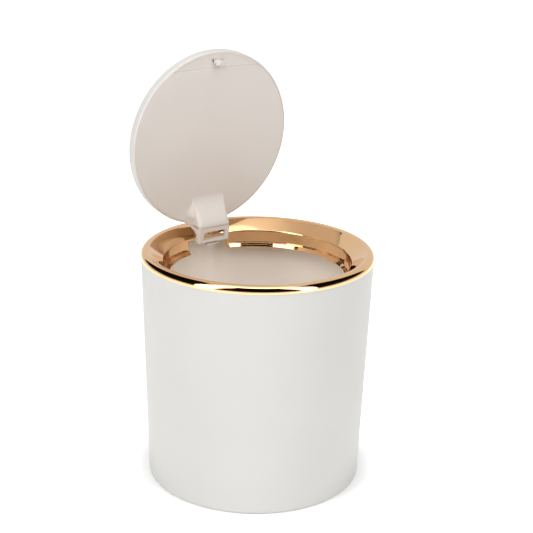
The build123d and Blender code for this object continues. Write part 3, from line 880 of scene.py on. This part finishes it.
aim = Vector((0, 0, aim_z))
lens = bpy.data.cameras.new("studio_camera")
lens.sensor_width = 36.0
lens.lens = lens.sensor_width * focal_pixels / frame_pixels
camera = bpy.data.objects.new("studio_camera", lens)
camera_place = on_dome(camera_turn, camera_rise, camera_distance)
camera.matrix_world = aimed(camera_place, aim, camera_yaw, camera_roll)
bpy.context.scene.collection.objects.link(camera)
bpy.context.scene.camera = camera


def soft_box(name, turn, rise, distance, width, height, radiance, mirrored, target=aim, colour=(1, 1, 1)):
    """Rectangular lamp that faces its target. Its turn, from the camera's side, and rise are in degrees."""
    lamp = bpy.data.lights.new(name, "AREA")
    lamp.shape = "RECTANGLE"
    lamp.size = width
    lamp.size_y = height
    lamp.energy = radiance * math.pi * width * height
    lamp.color = colour
    piece = bpy.data.objects.new(name, lamp)
    place = on_dome(camera_turn + math.radians(turn), math.radians(rise), distance)
    piece.matrix_world = aimed(place, target)
    piece.visible_camera = False
    piece.visible_glossy = mirrored
    bpy.context.scene.collection.objects.link(piece)


# After a lamp's name come its turn, rise, distance, width and height.
soft_box("left_soft_box", -49.0, 32.0, 1.15, 0.44, 1.38, radiance=3.4, mirrored=True)
soft_box("right_soft_box", 49.0, 32.0, 1.15, 0.35, 1.38, radiance=3.4, mirrored=True)
soft_box("overhead_soft_box", -4.0, 88.0, 1.0, 0.9, 0.46, radiance=1.0, mirrored=True)
soft_box("overhead_strip", -4.0, 76.0, 0.98, 0.9, 0.10, radiance=3.4, mirrored=True)
soft_box("front_fill", 0.0, 36.0, 1.2, 0.5, 0.4, radiance=3.4, mirrored=False)
soft_box("back_fill", 180.0, 24.0, 1.3, 0.8, 0.5, radiance=1.7, mirrored=False)
# The lamp in the can's mouth hangs under the place of the shut lid and points almost straight down.
soft_box(
    "mouth_fill", 0.0, -90.0, 0.0045, 0.08, 0.08, radiance=0.7, mirrored=False,
    target=on_dome(camera_turn, 0.0, 0.001, height=0.0), colour=(1.0, 0.92, 0.84),
)

drape_radius = 1.8
drape_low = math.radians(10.0)
drape_high = math.radians(72.0)
drape_left = math.radians(-140.0)
drape_right = math.radians(124.0)
drape_rows = 12
drape_columns = 96
drape = bmesh.new()
arc = []
for k in range(drape_rows + 1):
    rise = drape_low + (drape_high - drape_low) * k / drape_rows
    arc.append(drape.verts.new(on_dome(camera_turn + drape_left, rise, drape_radius)))
edges = [drape.edges.new(pair) for pair in zip(arc, arc[1:])]
bmesh.ops.spin(
    drape, geom=arc + edges, axis=(0, 0, 1), angle=drape_right - drape_left, steps=drape_columns,
    use_merge=False,
)
bmesh.ops.remove_doubles(drape, verts=drape.verts, dist=0.01 * mm)
drape_mesh = bpy.data.meshes.new("dark_drape")
drape.to_mesh(drape_mesh)
drape.free()
drape_cloth, drape_shader, _, _ = new_finish("drape_cloth")
drape_shader.inputs["Base Color"].default_value = (0.012, 0.011, 0.010, 1.0)
drape_shader.inputs["Roughness"].default_value = 1.0
drape_shader.inputs["Specular IOR Level"].default_value = 0.0
drape_mesh.materials.append(drape_cloth)
dark_drape = bpy.data.objects.new("dark_drape", drape_mesh)
bpy.context.scene.collection.objects.link(dark_drape)
dark_drape.visible_camera = False
dark_drape.visible_diffuse = False
dark_drape.visible_shadow = False
dark_drape.visible_transmission = False

# The table shines white to the camera and to mirrors, but less so near the can, where the shadow shows.
# The fading glow also paints shade of its own in a ring round the can's foot.
table_radius = 4.0
shadow_inner_radius = 0.072
shadow_outer_radius = 0.108
shadow_shine = 0.24
floor = bmesh.new()
bmesh.ops.create_circle(floor, cap_ends=True, segments=128, radius=table_radius)
floor_mesh = bpy.data.meshes.new("table")
floor.to_mesh(floor_mesh)
floor.free()
table_white, table_shader, add, links = new_finish("table_white")
table_shader.inputs["Base Color"].default_value = (0.86, 0.86, 0.86, 1.0)
table_shader.inputs["Roughness"].default_value = 0.9
table_shader.inputs["Specular IOR Level"].default_value = 0.1
path = add("ShaderNodeLightPath")
near = add("ShaderNodeVectorMath", operation="LENGTH")
links.new(add("ShaderNodeTexCoord").outputs["Object"], near.inputs[0])
# The glow fades towards the can: painted shade in a ring round its foot, on top of the real shadow.
fade = add("ShaderNodeMapRange", interpolation_type="SMOOTHSTEP")
fade.inputs["From Min"].default_value = shadow_inner_radius
fade.inputs["From Max"].default_value = shadow_outer_radius
fade.inputs["To Min"].default_value = shadow_shine
fade.inputs["To Max"].default_value = 1.0
links.new(near.outputs["Value"], fade.inputs["Value"])
seen = add("ShaderNodeMath", operation="MAXIMUM")
links.new(path.outputs["Is Camera Ray"], seen.inputs[0])
links.new(path.outputs["Is Glossy Ray"], seen.inputs[1])
seen_through = add("ShaderNodeMath", operation="MAXIMUM")
links.new(seen.outputs["Value"], seen_through.inputs[0])
links.new(path.outputs["Is Transmission Ray"], seen_through.inputs[1])
lift = add("ShaderNodeMath", operation="MULTIPLY")
links.new(seen_through.outputs["Value"], lift.inputs[0])
links.new(fade.outputs["Result"], lift.inputs[1])
table_shader.inputs["Emission Color"].default_value = (1.0, 1.0, 1.0, 1.0)
links.new(lift.outputs["Value"], table_shader.inputs["Emission Strength"])
floor_mesh.materials.append(table_white)
table = bpy.data.objects.new("table", floor_mesh)
bpy.context.scene.collection.objects.link(table)

# The surround is plain white to the camera, softer in mirrors, and gives only a weak fill light.
surround_fill = 0.18
surround_in_mirrors = 0.76
surround = bpy.data.worlds.new("white_surround")
surround.use_nodes = True
nodes, links = surround.node_tree.nodes, surround.node_tree.links
path = nodes.new("ShaderNodeLightPath")
mirrored = nodes.new("ShaderNodeMath")
mirrored.operation = "MAXIMUM"
strength = nodes.new("ShaderNodeMapRange")
strength.inputs["To Min"].default_value = surround_fill
strength.inputs["To Max"].default_value = surround_in_mirrors
brightest = nodes.new("ShaderNodeMath")
brightest.operation = "MAXIMUM"
links.new(path.outputs["Is Glossy Ray"], mirrored.inputs[0])
links.new(path.outputs["Is Transmission Ray"], mirrored.inputs[1])
links.new(mirrored.outputs["Value"], strength.inputs["Value"])
links.new(path.outputs["Is Camera Ray"], brightest.inputs[0])
links.new(strength.outputs["Result"], brightest.inputs[1])
background = nodes["Background"]
background.inputs["Color"].default_value = (1.0, 1.0, 1.0, 1.0)
links.new(brightest.outputs["Value"], background.inputs["Strength"])
bpy.context.scene.world = surround
bpy.context.scene.view_settings.view_transform = "Standard"
